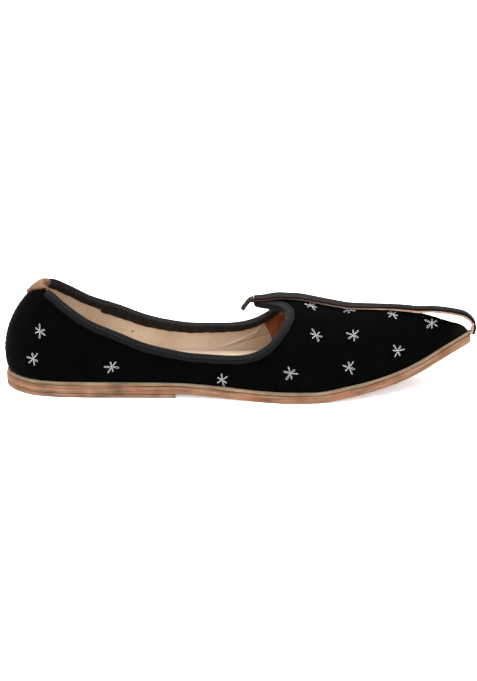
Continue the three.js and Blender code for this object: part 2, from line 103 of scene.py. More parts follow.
# Ribs of the last from the tip of the toe to the middle of the heel: foot of the rib, half widths
# as shares of the ball's and the heel's, place and height on the middle plane, swell, straightness
RIBS = table(
    ("along", "ball", "heel", "spine", "instep", "cone", "bulge", "roof"),
    (1.000, 0.000, 0.00, 0.975, 0.070, 0.000, 0.10, 0.40),
    (0.9975, 0.058, 0.00, 0.974, 0.085, 0.000, 0.10, 0.40),
    (0.985, 0.100, 0.00, 0.970, 0.140, 0.000, 0.15, 0.38),
    (0.965, 0.152, 0.00, 0.960, 0.215, 0.000, 0.20, 0.34),
    (0.940, 0.222, 0.00, 0.940, 0.330, 0.000, 0.25, 0.28),
    (0.890, 0.402, 0.00, 0.890, 0.563, 0.000, 0.30, 0.18),
    (0.838, 0.592, 0.00, 0.838, 0.701, 0.000, 0.35, 0.10),
    (0.786, 0.758, 0.00, 0.786, 0.782, 0.000, 0.40, 0.06),
    (0.733, 0.888, 0.00, 0.733, 0.841, 0.000, 0.45, 0.04),
    (0.683, 0.970, 0.00, 0.683, 0.938, 0.000, 0.50, 0.02),
    (0.632, 1.000, 0.00, 0.632, 1.008, 0.000, 0.60, 0.00),
    (0.590, 0.982, 0.00, 0.590, 1.005, 0.000, 0.65, 0.00),
    (0.544, 0.924, 0.00, 0.544, 0.966, 0.000, 0.65, 0.00),
    (0.500, 0.680, 0.24, 0.500, 0.930, 0.030, 0.65, 0.00),
    (0.435, 0.380, 0.55, 0.435, 0.620, 0.360, 0.65, 0.00),
    (0.348, 0.060, 0.93, 0.348, 0.000, 0.900, 0.55, 0.00),
    (0.243, 0.000, 1.00, 0.254, 0.000, 1.070, 0.60, 0.00),
    (0.165, 0.000, 0.985, 0.198, 0.000, 1.050, 0.60, 0.00),
    (0.105, 0.000, 0.94, 0.167, 0.000, 1.055, 0.85, 0.00),
    (0.055, 0.000, 0.79, 0.153, 0.000, 1.065, 1.30, 0.00),
    (0.020, 0.000, 0.50, 0.148, 0.000, 1.085, 1.65, 0.00),
    (0.005, 0.000, 0.26, 0.146, 0.000, 1.094, 1.75, 0.00),
    (0.000, 0.000, 0.00, 0.146, 0.000, 1.094, 1.76, 0.00),
)

# Underside of the outsole, as shares of the heel lift's height and of the toe spring
UNDERSIDE = table(
    ("along", "seat", "spring"),
    (0.000, 1.00, 0.000),
    (0.180, 1.00, 0.000),
    (0.365, 0.93, 0.000),
    (0.450, 0.50, 0.000),
    (0.530, 0.08, 0.000),
    (0.575, 0.00, 0.000),
    (0.660, 0.00, 0.000),
    (0.733, 0.00, 0.085),
    (0.786, 0.00, 0.165),
    (0.838, 0.00, 0.272),
    (0.890, 0.00, 0.440),
    (0.940, 0.00, 0.680),
    (1.000, 0.00, 1.000),
)
LIFT_FRONT = 0.365

# Edge of the opening from the peak over the instep to the heel
OPENING_EDGE = table(
    ("along", "climb"),
    (0.537, 1.000),
    (0.545, 0.955),
    (0.566, 0.895),
    (0.590, 0.830),
    (0.603, 0.750),
    (0.604, 0.660),
    (0.594, 0.560),
    (0.578, 0.467),
    (0.560, 0.391),
    (0.534, 0.328),
    (0.502, 0.287),
    (0.450, 0.252),
    (0.398, 0.243),
    (0.348, 0.267),
    (0.295, 0.290),
    (0.243, 0.339),
    (0.200, 0.400),
    (0.160, 0.487),
    (0.125, 0.590),
    (0.100, 0.672),
    (0.0815, 0.691),
    (0.000, 0.685),
)

# How the upper's columns lean from the seam with the sole to the throat
PEAK_COLUMN_ALONG = 0.70
THROAT_SHARE = 0.42
SLANT_POWER = 3

# Inner face of the strap's loop at the toe, and where the strap lies on the ridge
LOOP_LINE = table(
    ("along", "lift"),
    (0.9985, -0.030),
    (1.0006, 0.012),
    (1.0018, 0.052),
    (1.0006, 0.092),
    (0.9955, 0.140),
    (0.9835, 0.193),
    (0.9650, 0.224),
    (0.9400, 0.248),
    (0.9150, 0.261),
)
STRAP_LANDING = 0.885
STRAP_END = 0.533
STRAP_CLIMB = (0.585, 0.62)
STRAP_NARROWS_LOOP = 0.92
STRAP_NARROWS_INSTEP = 0.66
STRAP_NARROWS_END = 0.57
STRAP_THINS = (0.77, 0.90)
TAIL_LINE = table(("back", "drop"), (0.00, 0.00), (0.30, 0.04), (0.70, 0.50), (1.00, 1.00))
TAB_FOOT_CLIMB = 0.58
TAB_WIDENS = (0.60, 0.69)

# How far the cut edges of the sole's layers wander
LIFT_CUT = 0.10
SOLE_CUT = 0.12
RAND_CUT = 0.14


def smoothstep(value, low, high):
    share = np.clip((value - low) / (high - low), 0, 1)
    return share * share * (3 - 2 * share)


def mix(a, b, share):
    return a + (b - a) * share


def stack(x, y, z):
    return np.stack(np.broadcast_arrays(x, y, z), axis=-1).astype(float)


def unit(vectors):
    return vectors / np.linalg.norm(vectors, axis=-1, keepdims=True)


def mirrored(points):
    return points * np.array((1, -1, 1))


def catmull_rom(points, closed=False):
    """A centripetal curve through points, as a function of the share of the way along it."""
    points = np.asarray(points, float)
    if closed:
        padded = np.concatenate([points[-1:], points, points[:2]])
    else:
        padded = np.concatenate([2 * points[:1] - points[1:2], points, 2 * points[-1:] - points[-2:-1]])
    spans = len(padded) - 3
    knots = np.sqrt(np.linalg.norm(np.diff(padded, axis=0), axis=1))
    least = 1e-4

    def at(share):
        place = np.asarray(share, float) * spans
        if closed:
            place = place % spans
        k = np.clip(np.floor(place).astype(int), 0, spans - 1)
        t = (place - k)[..., None]
        middle = np.where(knots[k + 1] < least, 1, knots[k + 1])[..., None]
        before = np.where(knots[k][..., None] < least, middle, knots[k][..., None])
        after = np.where(knots[k + 2][..., None] < least, middle, knots[k + 2][..., None])
        p0, p1, p2, p3 = (padded[k + i] for i in range(4))
        leave = ((p1 - p0) / before - (p2 - p0) / (before + middle) + (p2 - p1) / middle) * middle
        arrive = ((p2 - p1) / middle - (p3 - p1) / (middle + after) + (p3 - p2) / after) * middle
        bend = 3 * (p2 - p1) - 2 * leave - arrive
        twist = 2 * (p1 - p2) + leave + arrive
        return p1 + t * (leave + t * (bend + t * twist))

    return at


def mirrored_curve(points):
    """A smooth closed curve through points and their mirror images: 0 the first, 1 the last."""
    curve = catmull_rom(np.concatenate([points, mirrored(points[1:-1])[::-1]]), closed=True)
    return lambda share: curve(np.asarray(share, float) / 2)


def column(rows, name):
    """The value of a table's column at a place along the sole, on a curve that never overshoots."""
    along = rows["along"]
    value = rows[name]
    rise = np.diff(value) / np.diff(along)
    turns = rise[:-1] * rise[1:] <= 0
    slope = np.zeros(len(value))
    both = np.where(turns, 1, rise[:-1] + rise[1:])
    slope[1:-1] = np.where(turns, 0, 2 * rise[:-1] * rise[1:] / both)
    slope[-1] = rise[-1]

    def at(place):
        place = np.clip(place, along[0], along[-1])
        k = np.clip(np.searchsorted(along, place) - 1, 0, len(along) - 2)
        width = along[k + 1] - along[k]
        t = (place - along[k]) / width
        s = 1 - t
        ends = value[k] * s * s * (1 + 2 * t) + value[k + 1] * t * t * (3 - 2 * t)
        return ends + width * (slope[k] * t * s * s - slope[k + 1] * s * t * t)

    return at


def crossing(rising, low, high):
    """Where a rising function reaches zero between low and high."""
    halvings = 36
    for _ in range(halvings):
        middle = (low + high) / 2
        below = rising(middle) < 0
        low = np.where(below, middle, low)
        high = np.where(below, high, middle)
    return (low + high) / 2


outline = mirrored_curve(
    stack(RIBS["along"] * SOLE_LENGTH, -(RIBS["ball"] * BALL_WIDTH + RIBS["heel"] * HEEL_WIDTH) / 2, 0)
)
spine_of = mirrored_curve(
    stack(RIBS["spine"] * SOLE_LENGTH, 0, RIBS["instep"] * INSTEP_RISE + RIBS["cone"] * HEEL_RISE)
)
form_of = mirrored_curve(stack(RIBS["bulge"], 0, RIBS["roof"]))
seat_at = column(UNDERSIDE, "seat")
spring_at = column(UNDERSIDE, "spring")


def outward(share):
    step = 1e-3
    tangent = unit(outline(share + step) - outline(share - step))
    return stack(-tangent[..., 1], tangent[..., 0], 0)


def inset_outline(share, inset):
    return outline(share) - outward(share) * np.asarray(inset)[..., None]


def inset_start(inset):
    return crossing(lambda share: -inset_outline(share, inset)[..., 1], 0.0, 0.5)


def sole_height(x):
    along = x / SOLE_LENGTH
    return seat_at(along) * (LIFT_THICKNESS + CLEARANCE) + spring_at(along) * TOE_SPRING


def layer_height(x, depth):
    step = 0.5
    steepness = (sole_height(x + step) - sole_height(x - step)) / (2 * step)
    return sole_height(x) + depth * np.hypot(1, steepness)


MIDSOLE_BOTTOM = OUTSOLE_THICKNESS + CLEARANCE
MIDSOLE_TOP = MIDSOLE_BOTTOM + MIDSOLE_THICKNESS
UPPER_BOTTOM = MIDSOLE_TOP + CLEARANCE


def last_point(depth, u, climb):
    """A point some way in from the upper's outside.

    u runs along the sole's outline from the toe to the heel, and climb from the seam with the sole
    (0) over the ridge (1) to the far side (2)."""
    swell = 0.6
    side = np.where(climb > 1, -1, 1)
    climb = np.where(climb > 1, 2 - climb, climb)
    foot = inset_outline(u, UPPER_INSET + depth)
    away = outward(u)
    spine = spine_of(u)
    form = form_of(u)
    turn = climb * math.pi / 2
    roof = form[..., 2] * climb
    across = roof + (1 - form[..., 2]) * (1 - np.cos(turn))
    up = roof + (1 - form[..., 2]) * np.sin(turn)
    bulge = form[..., 0] * SIDE_BULGE * np.sin(math.pi * np.maximum(climb, 0) ** swell)
    return stack(
        foot[..., 0] + (spine[..., 0] - foot[..., 0]) * across + away[..., 0] * bulge,
        (foot[..., 1] * (1 - across) + away[..., 1] * bulge) * side,
        layer_height(foot[..., 0], UPPER_BOTTOM) + (spine[..., 2] - depth) * up,
    )


@functools.cache
class Last:
    """A surface of the last at one depth, with the opening's edge on it."""

    def __init__(self, depth):
        self.depth = depth
        self.start = inset_start(UPPER_INSET + depth)
        u = self.rib(OPENING_EDGE["along"], OPENING_EDGE["climb"])
        near = stack(u, OPENING_EDGE["climb"], 0)
        far = stack(u[1:], 2 - OPENING_EDGE["climb"][1:], 0)[::-1]
        self.edge_curve = catmull_rom(np.concatenate([far, near]))

    def at(self, u, climb):
        return last_point(self.depth, u, climb)

    def rib(self, along, climb):
        """The u of the rib that stands at a place along the shoe, at a given climb."""
        place = np.asarray(along, float) * SOLE_LENGTH
        low = np.broadcast_to(self.start, place.shape)
        return crossing(lambda u: place - self.at(u, climb)[..., 0], low, np.ones(place.shape))

    def edge(self, share):
        """u and climb on the opening's edge, from the peak (0) to the heel (1)."""
        place = self.edge_curve((1 + np.asarray(share, float)) / 2)
        return place[..., 0], place[..., 1]

    def slopes(self, u, climb):
        """The point at u and climb, and how it moves with each of them."""
        step = 1e-3
        here = self.at(u, climb)
        by_u = (self.at(u + step, climb) - here) / step
        by_climb = (self.at(u, climb - step) - here) / -step
        return here, by_u, by_climb

    def moved(self, u, climb, offset):
        """u and climb after a small step of that many millimetres along the surface."""
        _, by_u, by_climb = self.slopes(u, climb)
        uu = (by_u * by_u).sum(-1)
        uc = (by_u * by_climb).sum(-1)
        cc = (by_climb * by_climb).sum(-1)
        scale = uu * cc - uc * uc
        to_u = (offset * by_u).sum(-1)
        to_climb = (offset * by_climb).sum(-1)
        return u + (to_u * cc - to_climb * uc) / scale, climb + (to_climb * uu - to_u * uc) / scale

    def from_edge(self, share, reach):
        """u and climb at a distance from the opening's edge, down the upper."""
        step = 1e-3
        nearest_middle = 0.8
        u, climb = self.edge(share)
        ahead = self.edge(share + step)
        behind = self.edge(share - step)
        _, by_u, by_climb = self.slopes(u, climb)
        to_u = (ahead[0] - behind[0])[..., None]
        to_climb = (ahead[1] - behind[1])[..., None]
        tangent = by_u * to_u + by_climb * to_climb
        away = np.cross(np.cross(by_climb, by_u), tangent)
        away *= (reach / np.linalg.norm(away, axis=-1))[..., None]
        new_u, new_climb = self.moved(u, climb, away)
        return new_u, climb + np.minimum(new_climb - climb, nearest_middle * (1 - climb))


velvet_face = Last(0)
inner_face = Last(UPPER_WALL)


def normals_of(points):
    """Unit normals of a grid of points."""
    least = 1e-9
    along = np.gradient(points, axis=0)
    across = np.gradient(points, axis=1)
    normal = np.cross(along, across)
    length = np.linalg.norm(normal, axis=-1, keepdims=True)
    return normal / np.maximum(length, least)


def arc_length(points):
    """Distance along a line of points, from its first one."""
    steps = np.linalg.norm(np.diff(points, axis=0), axis=1)
    return np.concatenate([[0], np.cumsum(steps)])


def flat_map(points):
    """Where a grid's points lie on its texture: the mean distances along both ways, in metres."""
    rows = np.linalg.norm(np.diff(points, axis=0), axis=-1).mean(1)
    columns = np.linalg.norm(np.diff(points, axis=1), axis=-1).mean(0)
    u = np.concatenate([[0], np.cumsum(rows)])
    v = np.concatenate([[0], np.cumsum(columns)])
    return np.stack(np.meshgrid(u, v, indexing="ij"), axis=-1) * MM


def to_frame(points):
    return points * MM + np.array((HEEL_BACK, 0, 0))


def add_object(name, data):
    added = bpy.data.objects.new(name, data)
    bpy.context.scene.collection.objects.link(added)
    return added


def make_piece(name, patches, materials, node=None):
    """One mesh from grids of points, each with the index of its material, welded where they meet."""
    weld = 2e-6
    vertices, faces, indices, places = [], [], [], []
    first = 0
    for points, index in patches:
        rows, columns = points.shape[:2]
        numbers = first + np.arange(rows * columns).reshape(rows, columns)
        corners = [numbers[:-1, :-1], numbers[1:, :-1], numbers[1:, 1:], numbers[:-1, 1:]]
        faces.append(np.stack([c.ravel() for c in corners], axis=1))
        indices.append(np.full(len(faces[-1]), index))
        vertices.append(to_frame(points).reshape(-1, 3))
        places.append(flat_map(points).reshape(-1, 2))
        first += rows * columns
    faces = np.concatenate(faces)
    places = np.concatenate(places)
    mesh = bpy.data.meshes.new(name)
    mesh.from_pydata(np.concatenate(vertices).tolist(), [], faces.tolist())
    mesh.polygons.foreach_set("material_index", np.concatenate(indices).astype(np.int32))
    layer = mesh.uv_layers.new(name="surface")
    layer.data.foreach_set("uv", places[faces.ravel()].astype(np.float32).ravel())
    work = bmesh.new()
    work.from_mesh(mesh)
    bmesh.ops.remove_doubles(work, verts=work.verts, dist=weld)
    bmesh.ops.recalc_face_normals(work, faces=work.faces)
    work.to_mesh(mesh)
    work.free()
    mesh.polygons.foreach_set("use_smooth", np.ones(len(mesh.polygons), bool))
    for material in materials:
        mesh.materials.append(material)
    piece = add_object(name, mesh)
    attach(piece, "root")
    if node:
        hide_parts(node)


def ripple(x, *waves):
    """A smooth unevenness: the sum of waves, each with its length, height and phase."""
    return sum(height * np.sin(2 * math.pi * x / length + phase) for length, height, phase in waves)


def srgb(*levels):
    """A colour given as it is seen, in levels up to 255, in linear light."""
    return tuple((level / 255) ** 2.2 for level in levels)


def grey(level):
    return srgb(level, level, level)


def even(value):
    """One value for all three channels or directions."""
    return (value, value, value)


NONE = even(0)
FULL = even(1)


class Recipe:
    """The nodes of one material."""

    def __init__(self, name, roughness, specular):
        self.material = bpy.data.materials.new(name)
        self.material.use_nodes = True
        self.nodes = self.material.node_tree.nodes
        self.link = self.material.node_tree.links.new
        self.shader = self.nodes["Principled BSDF"]
        self.shader.inputs["Roughness"].default_value = roughness
        self.shader.inputs["Specular IOR Level"].default_value = specular

    def place(self, source="Object", scale=(1, 1, 1)):
        """Where a point lies: in the frame, or on its piece's own flat map, stretched."""
        coordinates = self.nodes.new("ShaderNodeTexCoord")
        mapping = self.nodes.new("ShaderNodeMapping")
        mapping.inputs["Scale"].default_value = scale
        self.link(coordinates.outputs[source], mapping.inputs["Vector"])
        return mapping.outputs["Vector"]

    def noise(self, size, detail=3, source="Object", scale=(1, 1, 1)):
        """Unevenness with features of that many millimetres."""
        texture = self.nodes.new("ShaderNodeTexNoise")
        texture.inputs["Scale"].default_value = 1 / (size * MM)
        texture.inputs["Detail"].default_value = detail
        self.link(self.place(source, scale), texture.inputs["Vector"])
        return texture.outputs["Fac"]

    def along(self):
        """The share of the way along the sole, from its back to its tip."""
        parts = self.nodes.new("ShaderNodeSeparateXYZ")
        length = SOLE_LENGTH * MM
        place = self.place(scale=(1 / length, 1, 1))
        place.node.inputs["Location"].default_value = (-HEEL_BACK / length, 0, 0)
        self.link(place, parts.inputs["Vector"])
        return parts.outputs["X"]

    def across(self, width):
        """The share of the way across a piece's flat map that is that many millimetres wide."""
        parts = self.nodes.new("ShaderNodeSeparateXYZ")
        self.link(self.place("UV", (1, 1 / (width * MM), 1)), parts.inputs["Vector"])
        return parts.outputs["Y"]

    def ramp(self, value, *stops):
        """Colours for a value. Each stop is the value and its colour."""
        ramp = self.nodes.new("ShaderNodeValToRGB")
        elements = ramp.color_ramp.elements
        for k, (position, color) in enumerate(stops):
            element = elements[k] if k < 2 else elements.new(position)
            element.position = position
            element.color = (*color, 1)
        self.link(value, ramp.inputs["Fac"])
        return ramp.outputs["Color"]

    def combine(self, kind, share, a, b):
        mixer = self.nodes.new("ShaderNodeMix")
        mixer.data_type = "RGBA"
        mixer.blend_type = kind
        if isinstance(share, float):
            mixer.inputs[0].default_value = share
        else:
            self.link(share, mixer.inputs[0])
        for socket, color in ((mixer.inputs[6], a), (mixer.inputs[7], b)):
            if isinstance(color, tuple):
                socket.default_value = (*color, 1)
            else:
                self.link(color, socket)
        return mixer.outputs[2]

    def color(self, color):
        self.link(color, self.shader.inputs["Base Color"])

    def bump(self, value, height):
        """Relief of that many millimetres, on top of what is there already."""
        bump = self.nodes.new("ShaderNodeBump")
        bump.inputs["Distance"].default_value = height * MM
        self.link(value, bump.inputs["Height"])
        normal = self.shader.inputs["Normal"]
        if normal.is_linked:
            self.link(normal.links[0].from_socket, bump.inputs["Normal"])
        self.link(bump.outputs["Normal"], normal)


def make_velvet():
    """Black velvet with a fine nap, broad soft patches and some dust at the tip of the toe."""
    nap_size, dent_size, patch_size = 0.35, 6, 9
    black, faded = (0.0007, 0.0007, 0.0008), (0.0014, 0.0014, 0.0014)
    recipe = Recipe("velvet", 1.0, 0.02)
    patches = recipe.ramp(recipe.noise(patch_size), (0.35, black), (0.7, faded))
    dusty = recipe.ramp(recipe.along(), (0.955, NONE), (0.985, FULL))
    patches = recipe.combine("MIX", dusty, patches, srgb(30, 28, 20))
    nap = recipe.ramp(recipe.noise(nap_size), (0.3, grey(150)), (0.75, srgb(255, 250, 245)))
    recipe.color(recipe.combine("MULTIPLY", 1.0, patches, nap))
    recipe.shader.inputs["Sheen Weight"].default_value = 0.012
    recipe.shader.inputs["Sheen Roughness"].default_value = 0.35
    recipe.bump(recipe.noise(nap_size), 0.12)
    recipe.bump(recipe.noise(dent_size), 0.25)
    return recipe.material


def leather(name, dark, light, roughness, specular, patch=14, grain=0.8, depth=0.06, pore=232):
    """Leather with soft patches between two colours, fine grain and a few broader dents."""
    recipe = Recipe(name, roughness, specular)
    patches = recipe.ramp(recipe.noise(patch, 4), (0.32, srgb(*dark)), (0.68, srgb(*light)))
    pores = recipe.ramp(recipe.noise(grain), (0.25, grey(pore)), (0.6, FULL))
    recipe.color(recipe.combine("MULTIPLY", 1.0, patches, pores))
    recipe.bump(recipe.noise(grain), depth)
    recipe.bump(recipe.noise(5 * grain), 2 * depth)
    return recipe


def cut_layers(name, dark, light, red, foot, thickness):
    """A cut edge of sole leather: fibres that run along it, redder streaks and a dark foot."""
    fibre_stretch, streak_stretch = (0.05, 1, 1), (0.28, 1, 1)
    recipe = Recipe(name, 0.75, 0.12)
    fibres = recipe.noise(1.5, 4, "UV", fibre_stretch)
    body = recipe.ramp(fibres, (0.36, srgb(*dark)), (0.62, srgb(*light)))
    streaks = recipe.ramp(recipe.noise(5, 3, "UV", streak_stretch), (0.46, NONE), (0.62, even(0.75)))
    body = recipe.combine("MIX", streaks, body, srgb(*red))
    stains = recipe.ramp(recipe.noise(11, 4), (0.35, srgb(215, 212, 208)), (0.6, FULL))
    body = recipe.combine("MULTIPLY", 1.0, body, stains)
    low = recipe.ramp(recipe.across(thickness), (0.0, even(0.5)), (0.08, NONE))
    recipe.color(recipe.combine("MIX", low, body, srgb(*foot)))
    recipe.bump(fibres, 0.15)
    recipe.bump(recipe.noise(3), 0.15)
    return recipe.material


def make_band_leather():
    """Black leather, grey where it folds over the edge from wear and a painted highlight, with a
    pressed line under the fold painted black as its shade.
    """
    recipe = Recipe("band_leather", 0.6, 0.08)
    section = BAND_OUTER_LEG + FOLD_LENGTH + BAND_INNER_LEG
    line = BAND_OUTER_LEG * SEAM_SHARE / section
    fold = BAND_OUTER_LEG / section
    inside = (BAND_OUTER_LEG + FOLD_LENGTH) / section
    line_half_width = 0.03
    # worn_and_highlit: grey on top of the fold, partly wear and partly a painted highlight from the
    # light above
    black, plain, worn_and_highlit, inner = srgb(7, 7, 8), srgb(11, 11, 12), srgb(28, 28, 29), srgb(38, 34, 31)
    face = recipe.ramp(
        recipe.across(section), (0, black), (0.05, plain),
        # the pressed line is painted black: the shade in its groove
        (line - line_half_width, plain), (line, black), (line + line_half_width, plain),
        (fold + 0.10, worn_and_highlit), (fold + 0.2, plain), (inside, inner), (0.98, inner), (1, black),
    )
    wear = recipe.ramp(recipe.noise(2.5, 4), (0.35, grey(180)), (0.65, FULL))
    recipe.color(recipe.combine("MULTIPLY", 1.0, face, wear))
    recipe.bump(recipe.noise(0.5), 0.05)
    recipe.bump(recipe.noise(3), 0.2)
    return recipe.material


def make_strap_leather():
    """Dark brown leather with black painted edges."""
    recipe = Recipe("strap_leather", 0.7, 0.06)
    middle = recipe.ramp(recipe.noise(4, 4), (0.35, srgb(17, 14, 12)), (0.65, srgb(33, 26, 23)))
    rim = recipe.ramp(
        recipe.across(STRAP_MEAN_WIDTH), (0.12, NONE), (0.18, FULL), (0.82, FULL), (0.88, NONE)
    )
    recipe.color(recipe.combine("MIX", rim, srgb(14, 11, 10), middle))
    recipe.bump(recipe.noise(0.6), 0.06)
    return recipe.material


def make_cut_edge():
    """The strap's cut edge: tan fibres, darker where the strap lies on the vamp."""
    recipe = Recipe("cut_edge", 0.75, 0.1)
    fibres = recipe.noise(0.8, 4, "UV", (0.1, 1.5, 1))
    tan = recipe.ramp(fibres, (0.3, srgb(94, 72, 60)), (0.65, srgb(165, 133, 114)))
    # darker towards the back, where the strap lies on the vamp
    darker_behind = recipe.ramp(recipe.along(), (0.60, srgb(112, 98, 92)), (0.82, FULL))
    recipe.color(recipe.combine("MULTIPLY", 1.0, tan, darker_behind))
    recipe.bump(fibres, 0.1)
    return recipe.material


def make_thread(name, dark, light, roughness, metallic):
    """Thread whose twist shows as fine slanting ridges."""
    recipe = Recipe(name, roughness, 0.4)
    recipe.shader.inputs["Metallic"].default_value = metallic
    twist = recipe.noise(0.3, 2, "UV", (1, 0.4, 1))
    recipe.color(recipe.ramp(twist, (0.35, srgb(*dark)), (0.65, srgb(*light))))
    recipe.bump(twist, 0.05)
    return recipe.material


def make_wrapped_tail():
    """Dark leather wound with brown thread."""
    recipe = Recipe("wrapped_tail", 0.6, 0.25)
    wound = recipe.noise(0.7, 2, "UV", (1, 0.3, 1))
    recipe.color(recipe.ramp(wound, (0.45, srgb(16, 12, 10)), (0.68, srgb(60, 43, 30))))
    recipe.bump(wound, 0.15)
    return recipe.material


def make_lining():
    """Pale lining with painted shade, browner and darker towards the throat, and one small brown spot
    on the far side.
    """
    recipe = leather("quarter_lining", (182, 159, 137), (205, 184, 161), 0.7, 0.15, 22)
    base = recipe.shader.inputs["Base Color"]
    # painted shade: the lining darkens towards the throat, deep inside the shoe
    shaded = recipe.ramp(recipe.along(), (0.38, NONE), (0.56, even(0.75)))
    recipe.color(recipe.combine("MIX", shaded, base.links[0].from_socket, srgb(132, 104, 84)))
    spot_along, spot_climb, spot_radius = 0.269, np.array(1.839), 0.9
    surface = Last(LINING_DEPTH)
    center = to_frame(surface.at(surface.rib(spot_along, 2 - spot_climb), spot_climb))
    edge = 0.25
    spread = edge / (spot_radius * MM)
    distance = recipe.nodes.new("ShaderNodeVectorMath")
    distance.operation = "DISTANCE"
    distance.inputs[1].default_value = (center * spread).tolist()
    recipe.link(recipe.place(scale=even(spread)), distance.inputs[0])
    spot = recipe.ramp(distance.outputs["Value"], (edge / 2, FULL), (edge, NONE))
    recipe.color(recipe.combine("MIX", spot, base.links[0].from_socket, srgb(106, 74, 53)))
    return recipe.material


velvet = make_velvet()
band_leather = make_band_leather()
strap_leather = make_strap_leather()
cut_edge = make_cut_edge()
tab_leather = leather("tab_leather", (92, 64, 48), (120, 90, 70), 0.65, 0.15, 7).material
sole_side = cut_layers(
    "sole_side", (98, 72, 55), (136, 104, 84), (128, 84, 61), (62, 42, 32), OUTSOLE_THICKNESS
)
sole_face = leather("sole_face", (116, 86, 67), (144, 114, 93), 0.75, 0.15, 18, pore=205).material
lift_side = cut_layers(
    "lift_side", (95, 74, 60), (134, 107, 90), (130, 88, 65), (58, 42, 33), LIFT_THICKNESS
)
rand_side = cut_layers(
    "rand_side", (92, 77, 62), (136, 116, 95), (124, 96, 75), (65, 53, 40), MIDSOLE_THICKNESS
)
rand_face = leather("rand_face", (121, 106, 86), (151, 136, 116), 0.8, 0.15, 6, pore=205).material
insole_leather = leather("insole_leather", (168, 144, 122), (190, 170, 148), 0.7, 0.15, 26).material
lining_leather = make_lining()
vamp_lining = leather("vamp_lining", (92, 48, 30), (137, 81, 55), 0.75, 0.1, 9, 1.0, 0.1).material
silver_thread = make_thread("silver_thread", (98, 98, 102), (204, 204, 206), 0.35, 0.3)
dark_thread = make_thread("dark_thread", (9, 9, 10), (27, 27, 27), 0.6, 0.0)
brown_thread = make_thread("brown_thread", (74, 51, 37), (114, 84, 63), 0.6, 0.0)
wrapped_tail = make_wrapped_tail()


def placed(marks):
    """A table of marks on the velvet, with the point in the middle of each."""
    marks["middle"] = velvet_face.at(velvet_face.rib(marks["along"], marks["climb"]), marks["climb"])
    return marks


# Creases worn into the velvet: where their middle is, near side 1 or far side -1, their slope in
# degrees seen from the side, and length, width and depth. A negative depth is a ridge.
CREASES = placed(table(
    ("along", "climb", "side", "turn", "length", "width", "depth"),
    (0.69, 0.62, 1, 62, 16, 3.2, 0.55),
    (0.72, 0.45, 1, 74, 14, 2.8, 0.40),
    (0.71, 0.60, 1, 66, 15, 2.4, -0.25),
    (0.66, 0.30, 1, 30, 13, 2.6, 0.35),
    (0.52, 0.16, 1, 12, 18, 2.4, 0.35),
    (0.44, 0.12, 1, 160, 16, 2.4, 0.30),
    (0.30, 0.14, 1, 170, 20, 3.0, 0.35),
    (0.15, 0.22, 1, 120, 12, 3.0, 0.45),
    (0.10, 0.30, 1, 70, 10, 2.6, 0.35),
    (0.86, 0.45, 1, 40, 10, 2.4, 0.35),
    (0.93, 0.55, 1, 25, 7, 1.8, 0.30),
    (0.70, 0.58, -1, 60, 15, 3.0, 0.50),
    (0.73, 0.40, -1, 72, 14, 2.8, 0.40),
    (0.64, 0.28, -1, 28, 12, 2.6, 0.35),
    (0.48, 0.14, -1, 10, 18, 2.6, 0.35),
    (0.28, 0.15, -1, 168, 20, 3.0, 0.35),
    (0.13, 0.25, -1, 110, 12, 3.0, 0.45),
    (0.88, 0.50, -1, 35, 9, 2.2, 0.30),
))

# Folds in the lining behind the throat
LINING_FOLDS = placed(table(
    ("along", "climb", "side", "turn", "length", "width", "depth"),
    (0.545, 0.24, 1, 52, 9, 0.6, -0.70),
    (0.530, 0.19, 1, 28, 11, 0.5, -0.70),
    (0.548, 0.14, 1, 10, 11, 0.45, 0.70),
    (0.545, 0.24, -1, 50, 9, 0.6, -0.70),
    (0.528, 0.18, -1, 24, 12, 0.5, -0.70),
    (0.545, 0.145, -1, 14, 11, 0.45, 0.70),
    (0.505, 0.12, -1, 16, 12, 0.8, -0.60),
))


def relief(points, marks):
    """Height over the last at points of it: the sum of soft troughs and ridges."""
    side_fade = 6.0
    height = np.zeros(points.shape[:-1])
    for k, turn in enumerate(np.radians(marks["turn"])):
        x = points[..., 0] - marks["middle"][k, 0]
        z = points[..., 2] - marks["middle"][k, 2]
        along = x * math.cos(turn) + z * math.sin(turn)
        across = z * math.cos(turn) - x * math.sin(turn)
        shape = np.exp(-(along / marks["length"][k]) ** 2 - (across / marks["width"][k]) ** 2)
        on_side = smoothstep(-points[..., 1] * marks["side"][k], 0, side_fade)
        height -= marks["depth"][k] * shape * on_side
    return height


def outward_normals(points):
    """Unit normals of a grid on the upper, away from the middle of the shoe."""
    normal = normals_of(points)
    middle = points * np.array((1, 0, 0.5))
    return normal * np.sign((normal * (points - middle)).sum())


def creased(points):
    return points + outward_normals(points) * relief(points, CREASES)[..., None]


def upper_skin(surface, ridge_columns, edge_columns, rows):
    """A grid over one skin of the upper, round the whole shoe: columns climb from the sole's seam,
    first to the ridge and then, behind the peak, to the opening's edge."""
    peak = surface.edge(0)[0]
    peak_seam = surface.rib(PEAK_COLUMN_ALONG, 0)
    to_peak = np.linspace(0, 1, ridge_columns + 1)[:-1]
    to_heel = np.linspace(0, 1, edge_columns + 1)
    edge_u, edge_climb = surface.edge(to_heel)
    upright = smoothstep(to_heel, 0, THROAT_SHARE)
    top_u = np.concatenate([mix(surface.start, peak, to_peak), edge_u])
    top_climb = np.concatenate([np.ones(ridge_columns), edge_climb])
    seam_u = np.concatenate([mix(surface.start, peak_seam, to_peak), mix(peak_seam, edge_u, upright)])
    climb = np.linspace(0, 1, rows + 1)
    u = seam_u[:, None] + (top_u - seam_u)[:, None] * climb ** SLANT_POWER
    return surface.at(u, top_climb[:, None] * climb)


def all_round(near, far):
    """A grid of the near side, then the far side backwards and the first row again."""
    return np.concatenate([near, far[::-1], near[:1]])


